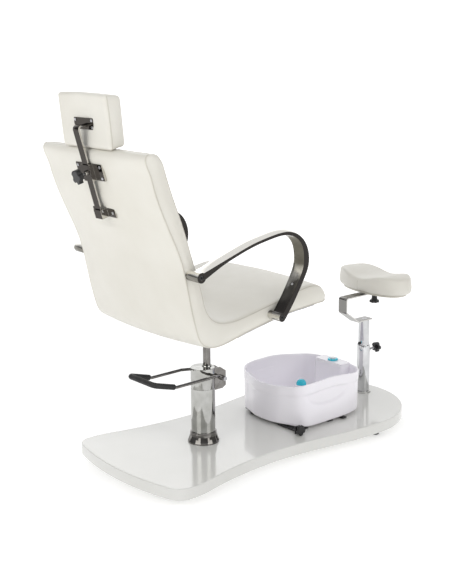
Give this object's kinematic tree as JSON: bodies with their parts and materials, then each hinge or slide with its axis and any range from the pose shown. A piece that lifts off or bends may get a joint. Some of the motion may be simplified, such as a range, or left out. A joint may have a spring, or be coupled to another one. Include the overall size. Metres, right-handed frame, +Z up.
{
  "type": "pedicure spa chair",
  "caption": "Padded chair with looped armrests and headrest on a foot-pump lift, on a waisted floor board with a sliding foot bath and a swivelling footrest pad.",
  "frame": {"origin": "on the floor, under the centre of the chair's bounding box", "axes": "+Z up, the sitter faces -Y, +X towards the sitter's left side, at which the origin's X is the mid plane of the board and seat"},
  "size_m": [0.644, 1.374, 1.2051],
  "materials": {
    "white_upholstery": "semi-gloss smooth leatherette",
    "white_board": "glossy white lacquer on board",
    "chrome": "mirror polished",
    "polished_aluminium": "polished",
    "steel": "zinc plated",
    "dark_steel": "satin black paint",
    "black_rubber": "matt",
    "black_plastic": "satin moulded",
    "timber": "raw timber",
    "tub_plastic": "semi-gloss moulded",
    "turquoise_plastic": "semi-gloss moulded",
    "white_plastic": "semi-gloss moulded"
  },
  "bodies": {
    "base": {"base_board": "white_board", "base_feet": "black_rubber", "pump_base_ring": "chrome", "pump_cover": "chrome", "pump_cap": "chrome", "pump_wiper": "chrome", "pump_bracket": "chrome", "pump_cylinder": "steel", "pump_floor_plate": "steel", "pump_floor_bolts": "steel", "footrest_outer_tube": "chrome", "footrest_flange": "chrome", "tub_rails": "dark_steel"},
    "plunger": {"pump_plunger": "steel"},
    "piston": {"piston_rod": "chrome"},
    "pedal": {"pedal_lever": "chrome", "pedal_grip": "black_rubber", "pedal_pivot_bolt": "steel", "pedal_cam": "chrome"},
    "seat": {"seat_mount": "dark_steel", "seat_mount_bolts": "steel", "back_board": "white_upholstery", "seat_cushion": "white_upholstery", "frame_bar_headrest": "timber", "frame_bar_lumbar": "timber", "frame_bar_arm_rear": "timber", "frame_bar_arm_front": "timber", "armrest_left": "polished_aluminium", "armrest_right": "polished_aluminium", "armrest_bolts": "steel", "headrest_clamp": "chrome", "headrest_guide": "chrome", "back_screws": "steel"},
    "headrest_lock": {"headrest_knob": "black_plastic", "headrest_knob_screw": "steel"},
    "headrest": {"headrest_strap": "chrome", "headrest_plate": "chrome", "headrest_plate_screws": "steel", "headrest_cushion": "white_upholstery"},
    "footrest_tube": {"footrest_inner_tube": "chrome", "footrest_stop_pin": "black_plastic", "footrest_pivot_screw": "steel"},
    "footrest_lock": {"footrest_knob": "black_plastic", "footrest_knob_screw": "steel"},
    "footrest_arm": {"footrest_bracket": "chrome"},
    "footrest_cushion": {"footrest_pad": "white_upholstery", "footrest_pad_board": "white_upholstery", "pad_spacer": "chrome", "pad_stud": "steel"},
    "pad_lock": {"pad_knob": "black_plastic"},
    "tray": {"tub_tray": "dark_steel"},
    "tray_lock": {"tub_knob": "black_plastic"},
    "tub": {"tub_basin": "tub_plastic", "tub_panel": "tub_plastic", "tub_inlet": "black_plastic", "tub_feet": "black_rubber", "massage_post": "tub_plastic"},
    "dome": {"massage_dome": "turquoise_plastic"},
    "dial": {"tub_dial": "turquoise_plastic", "tub_dial_cap": "white_plastic"}
  },
  "joints": [
    {"name": "seat_lift", "type": "slide", "parent": "base", "child": "piston", "axis": [0, 0, 1], "range_m": [0, 0.12]},
    {"name": "seat_swivel", "type": "hinge", "parent": "piston", "child": "seat", "pos_m": [0, 0.209, 0.47], "axis": [0, 0, 1], "continuous": true},
    {"name": "pump_pedal", "type": "hinge", "parent": "base", "child": "pedal", "pos_m": [0, 0.159, 0.268], "axis": [1, 0, 0], "range_deg": [-24, 0], "stiffness_Nm_per_rad": 6, "springref_deg": 34.38},
    {"name": "pump_plunger_slide", "type": "slide", "parent": "base", "child": "plunger", "axis": [0, 0, -1], "range_m": [0, 0.0085]},
    {"name": "headrest_height", "type": "slide", "parent": "seat", "child": "headrest", "axis": [0, 0.2696, 0.963], "range_m": [0, 0.1]},
    {"name": "headrest_knob_turn", "type": "hinge", "parent": "seat", "child": "headrest_lock", "pos_m": [0, 0.641, 0.986], "axis": [0, 0.963, -0.2696], "range_deg": [0, 270]},
    {"name": "footrest_height", "type": "slide", "parent": "base", "child": "footrest_tube", "axis": [0, 0, 1], "range_m": [0, 0.1]},
    {"name": "footrest_swivel", "type": "hinge", "parent": "footrest_tube", "child": "footrest_arm", "pos_m": [0, -0.545, 0.341], "axis": [0, 0, 1], "range_deg": [-90, 90]},
    {"name": "footrest_knob_turn", "type": "hinge", "parent": "base", "child": "footrest_lock", "pos_m": [0, -0.611, 0.22], "axis": [0, -1, 0], "range_deg": [0, 270]},
    {"name": "pad_turn", "type": "hinge", "parent": "footrest_arm", "child": "footrest_cushion", "pos_m": [0, -0.599, 0.45], "axis": [0, 0, 1], "range_deg": [-90, 90]},
    {"name": "pad_knob_turn", "type": "hinge", "parent": "footrest_cushion", "child": "pad_lock", "pos_m": [0, -0.599, 0.415], "axis": [0, 0, 1], "range_deg": [0, 270]},
    {"name": "tray_slide", "type": "slide", "parent": "base", "child": "tray", "axis": [-1, 0, 0], "range_m": [0, 0.12]},
    {"name": "tray_knob_turn", "type": "hinge", "parent": "tray", "child": "tray_lock", "pos_m": [-0.178, -0.044, 0.079], "axis": [-1, 0, 0], "range_deg": [0, 270]},
    {"name": "tub_lift_off", "type": "slide", "parent": "tray", "child": "tub", "axis": [0, 0, 1], "range_m": [0, 0.1]},
    {"name": "massage_dome_spin", "type": "hinge", "parent": "tub", "child": "dome", "pos_m": [0, -0.223, 0.165], "axis": [0, 0, 1], "continuous": true},
    {"name": "dial_turn", "type": "hinge", "parent": "tub", "child": "dial", "pos_m": [0, -0.382, 0.217], "axis": [0, 0, 1], "range_deg": [0, 300]}
  ],
  "couplings": [
    {"joint": "pump_plunger_slide", "follows": "pump_pedal", "m_per_rad": -0.017}
  ]
}
